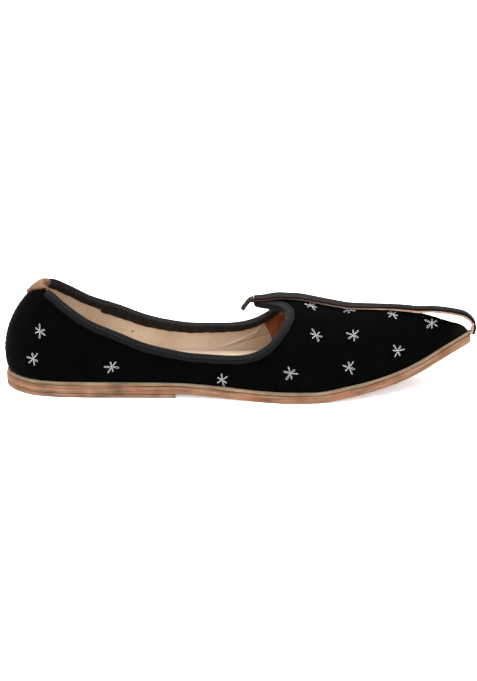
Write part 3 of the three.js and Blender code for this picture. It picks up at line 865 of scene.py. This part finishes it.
def sheet_patches(face, back):
    """A sheet between two grids: its face, its back and the four edges between them."""
    edges = [np.stack([face[:, j], back[:, j]], axis=1) for j in (0, -1)]
    edges += [np.stack([face[i], back[i]], axis=1) for i in (0, -1)]
    return [(patch, 0) for patch in [face, back] + edges]


def build_upper():
    ridge_columns, edge_columns, rows = 110, 190, 54
    skin = upper_skin(velvet_face, ridge_columns, edge_columns, rows)
    outer = all_round(creased(skin), creased(mirrored(skin)))
    inner_skin = upper_skin(inner_face, ridge_columns, edge_columns, rows)
    inner = all_round(inner_skin, mirrored(inner_skin))
    behind_peak = slice(ridge_columns, len(outer) - ridge_columns)
    rim, seam = (np.stack([outer[:, j], inner[:, j]], axis=1) for j in (-1, 0))
    patches = [(outer, 0), (inner, 1), (rim[behind_peak], 0), (seam, 0)]
    make_piece("upper_shell", patches, [velvet, vamp_lining], "upper")


def build_lining():
    """Sheets of pale leather inside the quarters, from behind the throat round the heel."""
    front_foot, front_rim = 0.335, 0.392
    rim_share, foot_climb, skin_gap = 0.985, 0.01, 0.06
    stations, rows = 260, 56
    height = np.linspace(0, 1, rows)
    front = mix(front_foot, front_rim, smoothstep(height, 0, 1))
    share = mix(front, 1, np.linspace(0, 1, stations)[:, None])

    def sheet(depth):
        surface = Last(depth)
        u = surface.edge(share)[0]
        top = surface.edge(share[:, -1:])[1]
        near = surface.at(u, mix(foot_climb, top * rim_share, height))
        return np.concatenate([near, mirrored(near[:-1])[::-1]])

    face = sheet(LINING_DEPTH)
    face -= outward_normals(face) * relief(face, LINING_FOLDS)[..., None]
    back = sheet(UPPER_WALL + skin_gap)
    make_piece("quarter_lining", sheet_patches(face, back), [lining_leather])


def band_section():
    """Depths and reaches round the folded band's section: face, fold, inner face, and back again."""
    leg_points, fold_points = 9, 13
    rim = -SOFT_GAP
    middle = UPPER_WALL / 2
    outer_leg = np.linspace(BAND_OUTER_LEG, rim, leg_points)
    inner_leg = np.linspace(rim, BAND_INNER_LEG, leg_points)
    turn = np.linspace(0, math.pi, fold_points)[1:-1]

    def layer(gap, height):
        half = middle + gap
        depth = np.concatenate([np.full(leg_points, middle - half), middle - half * np.cos(turn),
                                np.full(leg_points, middle + half)])
        reach = np.concatenate([outer_leg, rim - height * np.sin(turn), inner_leg])
        return depth, reach

    face = layer(SOFT_GAP + BAND_THICKNESS, BAND_THICKNESS)
    back = layer(SEEN_GAP, 0)
    depth = np.concatenate([face[0], back[0][::-1], face[0][:1]])
    reach = np.concatenate([face[1], back[1][::-1], face[1][:1]])
    return depth, reach


def band_end():
    """The share of the opening's edge where the band stops beside the tab."""
    innermost = Last(band_section()[0].max())
    end_width = TAB_WIDTH / 2 + SOFT_GAP
    search_from = 0.7

    def past_end(share):
        return innermost.at(*innermost.edge(share))[..., 1] + end_width

    return float(crossing(past_end, search_from, 1.0))


def build_band():
    stations = 210
    outer_growth, inner_trim = 0.9, 1.2
    overlap_share, overlap_length, overlap_step, overlap_start = 0.752, 0.004, 2.0, 0.45
    depths, reaches = band_section()
    share = np.linspace(0, band_end(), stations)
    lap = smoothstep(share, overlap_start, overlap_share)
    lap *= 1 - smoothstep(share, overlap_share, overlap_share + overlap_length)
    uneven = ripple(share, (0.021, 0.10, 0), (0.047, 0.12, 1))
    inner_change = uneven + overlap_step * lap - inner_trim
    outer_change = uneven + outer_growth
    near = []
    for depth, reach in zip(depths, reaches):
        surface = Last(depth)
        if depth > UPPER_WALL:
            lengthened = reach + inner_change * max(reach, 0) / BAND_INNER_LEG
        else:
            lengthened = reach + outer_change * max(reach, 0) / BAND_OUTER_LEG
        near.append(surface.at(*surface.from_edge(share, lengthened)))
    near = np.stack(near, axis=1)
    rows = np.concatenate([mirrored(near[1:])[::-1], near])
    make_piece("collar_binding", [(rows, 0)], [band_leather], "collar_band")


def stitch_row(lines, radius, length, gap):
    """Short tubes one after another along lines of points, each a stitch."""
    points, sides = 6, 6
    patches = []
    for line in lines:
        distance = arc_length(line)
        count = int(distance[-1] // (length + gap))
        for k in range(count):
            start = distance[-1] * k / count
            places = np.linspace(start, start + length, points)
            path = np.stack([np.interp(places, distance, line[:, axis]) for axis in range(3)], axis=1)
            patches.append((tube(path, radius, sides), 0))
    return patches


def build_band_stitches():
    """A seam of dark thread along the band's outer leg."""
    seam_reach, thread_radius, stitch, gap = BAND_OUTER_LEG * (1 - SEAM_SHARE), 0.12, 2.2, 0.7
    stations = 400
    surface = Last(-SOFT_GAP - BAND_THICKNESS)
    share = np.linspace(0, band_end(), stations)
    near = surface.at(*surface.from_edge(share, np.full(stations, seam_reach)))
    patches = stitch_row([near, mirrored(near)], thread_radius, stitch, gap)
    make_piece("band_stitches", patches, [dark_thread])


def slab(inset, bottom, top, first=0.0, stations=260, blunt=False, cut=0.0):
    """The side, top and underside of a layer of the sole, with rounded corners."""
    corner, corner_points, side_points, face_points = 0.35, 4, 5, 12
    turn = np.linspace(0, math.pi / 2, corner_points)
    sunk = corner * (1 - np.sin(turn))
    lift = corner * (1 - np.cos(turn))

    def line(extra, level, rise):
        start = max(first, float(inset_start(inset + extra)))
        share = start + (1 - start) * np.linspace(0, 1, stations)
        uneven = cut * ripple(share, (0.13, 1, 0), (0.052, 0.7, 2), (0.021, 0.45, 4))
        point = inset_outline(share, inset + extra + uneven)
        height = level(point[:, 0]) + rise
        return stack(point[:, 0], np.minimum(point[:, 1], 0), height)

    low = [line(s, bottom, r) for s, r in zip(sunk, lift)]
    high = [line(s, top, -r) for s, r in zip(sunk[::-1], lift[::-1])]
    side = [mix(low[-1], high[0], share) for share in np.linspace(0, 1, side_points)[1:-1]]
    near = np.stack(low + side + high, axis=1)
    across = np.linspace(0, 1, face_points)[:, None]
    under = mix(near[:, :1], mirrored(near[:, :1]), across)
    over = mix(near[:, -1:], mirrored(near[:, -1:]), across)
    patches = [(near, 0), (mirrored(near), 0), (under, 1), (over, 1)]
    if blunt:
        patches.append((mix(near[0][None], mirrored(near[0])[None], across[:, None]), 0))
    return patches


def layer_face(depth):
    """The height of a face of the sole's layers, as a function of the place along it."""
    return lambda x: layer_height(x, depth)


def build_soles():
    front, lift_stations = LIFT_FRONT * SOLE_LENGTH, 120
    lift_start = float(crossing(lambda share: front - outline(share)[..., 0], 0.0, 1.0))
    lift = slab(
        LIFT_INSET, lambda x: 0 * x, lambda x: sole_height(x) - CLEARANCE,
        lift_start, lift_stations, True, LIFT_CUT,
    )
    outsole = slab(0, layer_face(0), layer_face(OUTSOLE_THICKNESS), cut=SOLE_CUT)
    rand = slab(MIDSOLE_INSET, layer_face(MIDSOLE_BOTTOM), layer_face(MIDSOLE_TOP), cut=RAND_CUT)
    sock_inset, sock_top = UPPER_INSET + UPPER_WALL + SOFT_GAP, UPPER_BOTTOM + INSOLE_THICKNESS
    sock = slab(sock_inset, layer_face(UPPER_BOTTOM), layer_face(sock_top))
    make_piece("sole_lift", lift, [lift_side, sole_face], "heel_lift")
    make_piece("sole_leather", outsole, [sole_side, sole_face], "outsole")
    make_piece("sole_rand", rand, [rand_side, rand_face], "midsole")
    make_piece("sole_sock", sock, [insole_leather, insole_leather], "insole")


def build_tab():
    steps, columns, fold_points, search_from = 28, 16, 11, 0.75
    middle = UPPER_WALL / 2
    fold = Last(middle)
    top = OPENING_EDGE["climb"][-1]
    step = 1e-3
    heel = np.array(1.0)
    climb_rate = np.linalg.norm(fold.at(heel, top) - fold.at(heel, top - step)) / step
    turn = np.linspace(0, math.pi, fold_points)[1:-1]
    up = np.linspace(TAB_FOOT_CLIMB, top, steps)
    down = np.linspace(top, top - TAB_INNER_DEPTH / climb_rate, steps)
    outside = np.arange(2 * steps + len(turn)) < steps

    def rows(gap, crest, across):
        half = middle + gap
        folded = middle - half * np.cos(turn)
        depth = np.concatenate([np.full(steps, -gap), folded, np.full(steps, middle + half)])
        climb = np.concatenate([up, top + crest / climb_rate * np.sin(turn), down])
        widening = np.where(outside, smoothstep(climb, *TAB_WIDENS), 1)
        y = mix(TAB_STRIP_WIDTH, TAB_WIDTH, widening)[:, None] / 2 * across
        depths = np.broadcast_to(depth[:, None], y.shape)
        climbs = np.broadcast_to(climb[:, None], y.shape)

        def past_edge(share):
            return last_point(depths, share, climbs)[..., 1] + np.abs(y)

        u = crossing(past_edge, np.full(y.shape, search_from), np.ones(y.shape))
        points = last_point(depths, u, climbs)
        points[..., 1] *= np.where(y > 0, -1, 1)
        return points

    across = np.linspace(-1, 1, columns)
    face = rows(SOFT_GAP + TAB_THICKNESS, TAB_CREST, across)
    back = rows(SEEN_GAP, TAB_CREST - TAB_THICKNESS, across)
    make_piece("pull_tab", sheet_patches(face, back), [tab_leather], "heel_tab")
    seam_place, thread_radius, stitch, gap = 0.8, 0.15, 2.0, 0.8
    seams = rows(SOFT_GAP + TAB_THICKNESS, TAB_CREST, np.array((-seam_place, seam_place)))
    patches = stitch_row([seams[:, 0], seams[:, 1]], thread_radius, stitch, gap)
    make_piece("tab_stitches", patches, [brown_thread])


def strap_curve():
    """Points along the strap's inner face, evenly spaced, and their unit tangents."""
    seats = 14
    samples, stations = 3000, 260
    tip = layer_height(SOLE_LENGTH, UPPER_BOTTOM)
    loop = stack(LOOP_LINE["along"] * SOLE_LENGTH, 0, tip + LOOP_LINE["lift"] * INSTEP_RISE)
    along = np.linspace(STRAP_LANDING, STRAP_END, seats + 1)
    climb = np.ones(seats + 1)
    ridge = velvet_face.at(velvet_face.rib(along, climb), climb)
    on_band = 1 - smoothstep(along, *STRAP_CLIMB)
    on_ridge = stack(ridge[:, 0], 0, ridge[:, 2] + SOFT_GAP + on_band * (BAND_THICKNESS + CLEARANCE))
    curve = catmull_rom(np.concatenate([loop, on_ridge]))
    fine = curve(np.linspace(0, 1, samples))
    length = arc_length(fine)
    share = np.interp(np.linspace(0, length[-1], stations), length, np.linspace(0, 1, samples))
    points = curve(share)
    return points, unit(np.gradient(points, axis=0))


def strap_width(x):
    along = x / SOLE_LENGTH
    widening = 1 - smoothstep(along, STRAP_NARROWS_INSTEP, STRAP_NARROWS_LOOP)
    narrowing = 1 - smoothstep(along, STRAP_END, STRAP_NARROWS_END)
    width = mix(STRAP_LOOP_WIDTH, STRAP_INSTEP_WIDTH, widening)
    return width - (STRAP_INSTEP_WIDTH - STRAP_END_WIDTH) * narrowing


def strap_depth(x):
    return mix(STRAP_PARED, STRAP_LAYER, smoothstep(x / SOLE_LENGTH, *STRAP_THINS))


def strap_layer(points, tangents, number):
    """Patches of one layer of the strap, the lower one number 0: face, back, cut edges and ends."""
    face_points, edge_points = 9, 5
    normal = stack(tangents[:, 2], 0, -tangents[:, 0])
    pink_length, pink_depth, pink_starts = 3.4, 0.45, (0.90, 0.95)
    pinked = (1 - number) * pink_depth * smoothstep(points[:, 0] / SOLE_LENGTH, *pink_starts)
    teeth = np.abs(np.sin(math.pi * arc_length(points) / pink_length))
    side = strap_width(points[:, 0]) / 2 + pinked * teeth
    across = np.linspace(-1, 1, face_points)
    across_axis = np.array((0, 1, 0))

    def skin(layers_below):
        height = strap_depth(points[:, 0]) * layers_below + CLEARANCE * number
        middle = points + normal * height[:, None]
        return middle[:, None] + across_axis * (side[:, None] * across)[..., None]

    top, under = skin(number + 1), skin(number)
    heights = np.linspace(0, 1, edge_points)
    edges = [mix(top[:, j][:, None], under[:, j][:, None], heights[:, None]) for j in (0, -1)]
    ends = [mix(top[i][:, None], under[i][:, None], heights[:, None]) for i in (0, -1)]
    return [(top, 0), (under, 0)] + [(e, 1) for e in edges + ends]


def tube(path, radius, sides=8):
    """A round tube along a line of points, closed at both ends. The radius may change along it."""
    steep = 0.9
    tangent = unit(np.gradient(path, axis=0))
    up = np.array((0.0, 0.0, 1.0)) if abs(tangent[0, 2]) < steep else np.array((1.0, 0.0, 0.0))
    frames = []
    for t in tangent:
        across = unit(np.cross(up, t))
        up = np.cross(t, across)
        frames.append((across, up))
    angle = np.linspace(0, 2 * math.pi, sides + 1)
    ring = np.array([np.outer(np.cos(angle), a) + np.outer(np.sin(angle), b) for a, b in frames])
    radius = np.broadcast_to(radius, len(path))
    body = path[:, None] + ring * radius[:, None, None]
    caps = [np.repeat(path[i][None, None], sides + 1, axis=1) for i in (0, -1)]
    return np.concatenate([caps[0], body, caps[1]])


def build_tail(end, tangent):
    """The wrapped tail that hangs from the end of the strap."""
    root_radius, end_radius, root_drop, turn_length, turn_depth = 2.3, 1.55, 0.7, 0.8, 0.07
    stations, sides, tapered = 120, 16, 0.6
    middle = STRAP_PARED + CLEARANCE / 2
    start = end + tangent * SEEN_GAP + stack(tangent[2], 0, -tangent[0]) * (middle - root_drop)
    line = stack(start[0] - TAIL_LINE["back"] * TAIL_REACH, 0, start[2] - TAIL_LINE["drop"] * TAIL_DROP)
    share = np.linspace(0, 1, stations)
    path = catmull_rom(line)(share)
    wound = 1 - turn_depth * np.abs(np.sin(math.pi * arc_length(path) / turn_length))
    radius = mix(root_radius, end_radius, smoothstep(share, 0, tapered)) * wound
    patches = [(tube(path, radius, sides), 0)]
    make_piece("strap_tie", patches, [wrapped_tail], "strap_tail")


def build_strap():
    points, tangents = strap_curve()
    under, over = (strap_layer(points, tangents, number) for number in (0, 1))
    make_piece("strap_under", under, [cut_edge, cut_edge], "toe_strap_backing")
    make_piece("strap_over", over, [strap_leather, strap_leather], "toe_strap")
    build_tail(points[-1], tangents[-1])


# The embroidered stars on each side: their middles, and the turn of their first petal in degrees
STARS = table(
    ("along", "climb", "turn"),
    (0.655, 0.88, 8),
    (0.735, 0.93, 20),
    (0.830, 0.85, 12),
    (0.915, 0.71, 25),
    (0.665, 0.52, 5),
    (0.745, 0.54, 30),
    (0.840, 0.27, 10),
    (0.735, 0.20, 22),
    (0.610, 0.17, 12),
    (0.465, 0.06, 18),
    (0.230, 0.11, 8),
    (0.077, 0.35, 28),
    (0.062, 0.15, 15),
)


def build_back_seam():
    """The brown thread that closes the upper at the heel, from the sole up to the tab."""
    thread_radius, stitch, gap, foot_climb, points = 0.2, 2.4, 0.5, 0.12, 60
    climb = np.linspace(foot_climb, TAB_FOOT_CLIMB, points)
    path = velvet_face.at(np.ones(points), climb) + np.array((-thread_radius / 2, 0, 0))
    make_piece("back_seam", stitch_row([path], thread_radius, stitch, gap), [brown_thread])


def build_stars():
    """Six looped petals of silver thread to a star, laid on the velvet."""
    petals, petal_points, thread_radius, thread_sides, proud = 6, 26, 0.13, 7, 0.7
    inner_end, petal_length, petal_half_width = 0.2, 4.0, 0.6
    lengths = (1.0, 0.78, 1.1, 0.86, 1.15, 0.74, 0.95)
    widths = (1.0, 0.55, 0.8, 1.15, 0.6)
    sways = (0, 9, -7, 4, -10, 6, 2)
    turn = np.linspace(0, 2 * math.pi, petal_points)
    out = (1 - np.cos(turn)) / 2
    patches = []
    for side in (1, -1):
        for star, (along, climb, first) in enumerate(zip(*STARS.values())):
            climb = np.array(climb)
            u = velvet_face.rib(along, climb)
            _, by_u, by_climb = velvet_face.slopes(u, climb)
            ahead = unit(by_u)
            above = unit(by_climb - ahead * (by_climb * ahead).sum())
            normal = np.cross(ahead, above)
            normal *= np.sign(-normal[1])
            for k in range(petals):
                number = star * petals + k
                angle = math.radians(first + 360 * k / petals + sways[number % len(sways)])
                toward = ahead * math.cos(angle) + above * math.sin(angle)
                beside = above * math.cos(angle) - ahead * math.sin(angle)
                reach = inner_end + petal_length * lengths[number % len(lengths)] * out
                width = petal_half_width * widths[number % len(widths)] * np.sin(turn) * out
                offset = reach[:, None] * toward + width[:, None] * beside
                spread = np.full(petal_points, u)
                places = velvet_face.moved(spread, np.full(petal_points, climb), offset)
                path = velvet_face.at(*places) * np.array((1, side, 1))
                lift = relief(path, CREASES) + thread_radius * proud
                path += normal * np.array((1, side, 1)) * lift[:, None]
                patches.append((tube(path, thread_radius, thread_sides), 0))
    make_piece("stars", patches, [silver_thread])


def make_floor():
    """A white table that glows a little, so that the toe's shadow nearly goes."""
    recipe = Recipe("floor", 0.8, 0.2)
    recipe.color(recipe.ramp(recipe.noise(60), (0.3, even(0.9)), (0.7, even(0.93))))
    recipe.shader.inputs["Emission Color"].default_value = (1, 1, 1, 1)
    recipe.shader.inputs["Emission Strength"].default_value = 0.4
    return recipe.material


def build_stage():
    floor_size = 30.0
    mesh = bpy.data.meshes.new("floor")
    half = floor_size / 2
    corners = [(-half, -half, 0), (half, -half, 0), (half, half, 0), (-half, half, 0)]
    mesh.from_pydata(corners, [], [(0, 1, 2, 3)])
    mesh.materials.append(make_floor())
    floor = add_object("floor", mesh)
    world = bpy.data.worlds.new("studio")
    world.use_nodes = True
    background = world.node_tree.nodes["Background"]
    background.inputs["Color"].default_value = (1, 1, 1, 1)
    background.inputs["Strength"].default_value = 1.3
    bpy.context.scene.world = world
    bpy.context.scene.view_settings.view_transform = "Standard"


def area_light(name, place, aim, size, power):
    data = bpy.data.lights.new(name, "AREA")
    data.shape = "DISK"
    data.size = size
    data.energy = power
    light = add_object(name, data)
    light.location = place
    light.rotation_euler = (Vector(aim) - Vector(place)).to_track_quat("-Z", "Y").to_euler()


def build_camera():
    distance, elevation = 2.4, math.radians(18.5)
    seen_height = 0.418
    target = Vector((-0.0012, 0, 0.0267))
    data = bpy.data.cameras.new("camera")
    data.sensor_width = 36
    data.lens = data.sensor_width * distance / seen_height
    camera = add_object("camera", data)
    camera.location = target + Vector((0, -math.cos(elevation), math.sin(elevation))) * distance
    camera.rotation_euler = (math.pi / 2 - elevation, 0, 0)
    bpy.context.scene.camera = camera


build_stage()
build_camera()
area_light("overhead", (0.0, 0.2, 1.5), (0, 0, 0), 2.4, 55)
area_light("front", (-0.6, -1.6, 0.9), (0, 0, 0.03), 1.6, 15)
build_upper()
build_lining()
build_band()
build_band_stitches()
build_soles()
build_tab()
build_strap()
build_back_seam()
build_stars()
